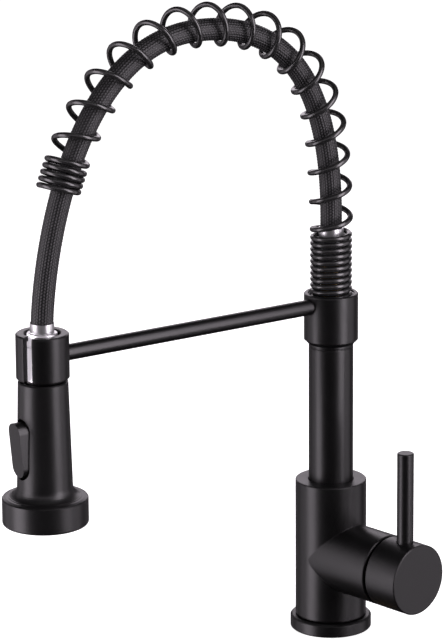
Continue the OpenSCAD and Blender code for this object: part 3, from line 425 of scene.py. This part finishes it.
def makeHoseTree():
    tree, given, out = newGroup("braidedHose", "GeometryNodeTree", {
        "Line": ("Geometry", None), **numberSockets(hose), "Material": ("Material", None)},
        {"Geometry": "Geometry"})

    def stored(shape, name, value):
        return addNode(tree, "GeometryNodeStoreNamedAttribute", {"Geometry": shape, "Name": name,
                       "Value": value}, data_type="FLOAT", domain="POINT").outputs[0]

    def recalled(name):
        return addNode(tree, "GeometryNodeInputNamedAttribute", {"Name": name}, data_type="FLOAT").outputs[0]

    def arched(value):  # 0 at the edges of a cell and 1 in its middle
        return calc(tree, "SINE", calc(tree, "MULTIPLY", calc(tree, "FRACT", value), math.pi))

    onSpline = addNode(tree, "GeometryNodeSplineParameter").outputs
    rail = addNode(tree, "GeometryNodeMeshToCurve", {0: given["Line"]}).outputs[0]
    rail = addNode(tree, "GeometryNodeResampleCurve",
                   {"Curve": rail, "Length": calc(tree, "MULTIPLY", given["Ring Gap"], mm)},
                   mode="LENGTH").outputs[0]
    rail = stored(rail, "along", onSpline["Length"])
    ring = stored(ringCurve(tree, given["Around"], given["Radius"]), "around", onSpline["Factor"])
    skin = swept(tree, rail, ring)

    # ribs run along the hose, and in each rib the strands slant the other way from its neighbours'
    rib = calc(tree, "MULTIPLY", recalled("around"), given["Ribs"])
    inRib = calc(tree, "FRACT", rib)
    oddRib = calc(tree, "PINGPONG", calc(tree, "FLOOR", rib), 1.0)
    side = calc(tree, "SUBTRACT", calc(tree, "MULTIPLY", oddRib, 2.0), 1.0)
    lean = calc(tree, "MULTIPLY", calc(tree, "SUBTRACT", inRib, 0.5), given["Strand Slant"])
    slant = calc(tree, "MULTIPLY", calc(tree, "ADD", lean, 0.25), side)  # neighbours half a strand apart
    pitches = calc(tree, "DIVIDE", calc(tree, "DIVIDE", recalled("along"), mm), given["Strand Pitch"])
    strand = mapped(tree, arched(calc(tree, "ADD", pitches, slant)), toLow=given["Strand Floor"])
    crest = calc(tree, "MULTIPLY", calc(tree, "POWER", arched(inRib), given["Rib Power"]), strand)
    skin = stored(skin, "crest", crest)

    rise = calc(tree, "MULTIPLY", calc(tree, "MULTIPLY", crest, given["Relief"]), mm)
    lift = scaled(tree, addNode(tree, "GeometryNodeInputNormal").outputs[0], rise)
    skin = addNode(tree, "GeometryNodeSetPosition", {"Geometry": skin, "Offset": lift}).outputs[0]
    endTree(tree, skin, given, out)
    return tree


def hoseLine():
    run = 0.0
    for i, (a, b) in enumerate(zip(archPoints, archPoints[1:])):
        step = (b - a).length
        if run + step > hoseFrom * mm:
            return [a.lerp(b, (hoseFrom * mm - run) / step)] + archPoints[i + 1:]
        run += step


def makeHose():
    tree = makeHoseTree()
    for name, node, sizes in (("hoseBraid", "hose_braid", hose), ("hoseCore", "hose_tube", hoseCore)):
        made = bakeTree(lineObject(name, hoseLine()), tree, {**sizes, "Material": materials[node]})
        flexWithHose(made)
        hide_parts(node)
        print(name, "made", len(made.data.polygons))


makeHose()

# studio: a white floor and world, with soft boxes round the faucet
studio = {"floorReach": 12.0, "floorDrop": 0.0002, "floorColor": (0.85, 0.85, 0.85, 1), "floorLight": 0.8,
          "ambient": 0.3, "reflected": 0.008, "tint": (1.0, 0.92, 1.0)}
boxes = {  # degrees to the right of the camera, height, distance, width, tallness, brightness
    "leftBox": (-67, 0.0, 1.0, 0.6, 1.5, 3.7),
    "rightBox": (60, 0.5, 1.0, 0.52, 1.5, 5.6),
    "frontBox": (0, 0.85, 1.0, 1.9, 0.3, 1.1),
    "farBox": (180, 0.6, 1.2, 1.2, 0.5, 2.0),
    "leftSideBox": (-108, 0.0, 1.0, 0.5, 1.5, 0.65),
    "sideBox": (97, 0.0, 1.0, 0.5, 1.5, 0.9),
    "backLeftBox": (-146, 0.1, 1.2, 0.4, 1.4, 0.25),
    "backRightBox": (146, 0.1, 1.2, 0.4, 1.4, 0.25),
}
neckBox = (-95, 0.0, 1.0, 1.2, 1.5, 13.0)  # in the same order
topBox = {"height": 1.7, "width": 1.2, "brightness": 0.25}
middle = Vector((-0.02, -0.1, 0.0))  # the boxes stand round this point
boxAim = 0.25  # a raised box leans towards this height


def rayShare(tree, *kinds):
    path = addNode(tree, "ShaderNodeLightPath")
    total = path.outputs[kinds[0]]
    for kind in kinds[1:]:
        total = calc(tree, "MAXIMUM", total, path.outputs[kind])
    return total


def makeWorld():
    world = bpy.data.worlds.new("studio")
    bpy.context.scene.world = world
    world.use_nodes = True
    tree = world.node_tree
    tree.nodes.clear()
    path = addNode(tree, "ShaderNodeLightPath").outputs
    plain = mapped(tree, path["Is Camera Ray"], toLow=studio["ambient"])
    strength = mapped(tree, path["Is Glossy Ray"], toLow=plain, toHigh=studio["reflected"])
    sky = addNode(tree, "ShaderNodeBackground", {"Color": (1, 1, 1, 1), "Strength": strength})
    tree.links.new(sky.outputs[0], addNode(tree, "ShaderNodeOutputWorld").inputs[0])


def makeFloor():
    mesh = bpy.data.meshes.new("floor")
    far = studio["floorReach"]
    mesh.from_pydata([(-far, -far, 0), (far, -far, 0), (far, far, 0), (-far, far, 0)], [], [(0, 1, 2, 3)])
    floor = addObject("floor", mesh)
    floor.location.z = -studio["floorDrop"]
    made = bpy.data.materials.new("floor")
    made.use_nodes = True
    tree = made.node_tree
    tree.nodes.clear()
    matt = addNode(tree, "ShaderNodeBsdfDiffuse", {"Color": studio["floorColor"]})
    seen = rayShare(tree, "Is Camera Ray", "Is Glossy Ray", "Is Transmission Ray")
    glow = addNode(tree, "ShaderNodeEmission", {"Color": (1, 1, 1, 1),
                   "Strength": calc(tree, "MULTIPLY", seen, studio["floorLight"])})
    both = addNode(tree, "ShaderNodeAddShader", {0: matt.outputs[0], 1: glow.outputs[0]})
    tree.links.new(both.outputs[0], addNode(tree, "ShaderNodeOutputMaterial").inputs[0])
    mesh.materials.append(made)
    floor.visible_glossy = False
    floor.visible_shadow = False


def makeBox(name, turn, height, distance, width, tall, brightness):
    data = bpy.data.lights.new(name, "AREA")
    data.shape, data.size, data.size_y = "RECTANGLE", width, tall
    data.energy = brightness * math.pi * width * tall
    data.color = studio["tint"]
    box = addObject(name, data)
    place = middle + towards(camera["azimuth"] + turn) * distance + Vector((0, 0, height))
    aim = place - middle - Vector((0, 0, min(height, boxAim)))
    box.matrix_world = Matrix.Translation(place) @ aim.to_track_quat("Z", "Y").to_matrix().to_4x4()
    box.visible_camera = False
    return box


def makeNeckBox():  # shines on the bright neck alone, through the ring round it
    lit = bpy.data.collections.new("neckLit")
    lit.objects.link(frame["nodes"]["neck_nut"])
    box = makeBox("neckBox", *neckBox)
    box.light_linking.receiver_collection = lit
    box.light_linking.blocker_collection = lit


def makeTopBox():
    data = bpy.data.lights.new("topBox", "AREA")
    data.shape, data.size = "SQUARE", topBox["width"]
    data.energy = topBox["brightness"] * math.pi * topBox["width"] ** 2
    addObject("topBox", data).location = middle + Vector((0, 0, topBox["height"]))


makeWorld()
makeFloor()
for boxName, boxFacts in boxes.items():
    makeBox(boxName, *boxFacts)
makeNeckBox()
makeTopBox()
bpy.context.scene.view_settings.view_transform = "Standard"
print("studio lit")
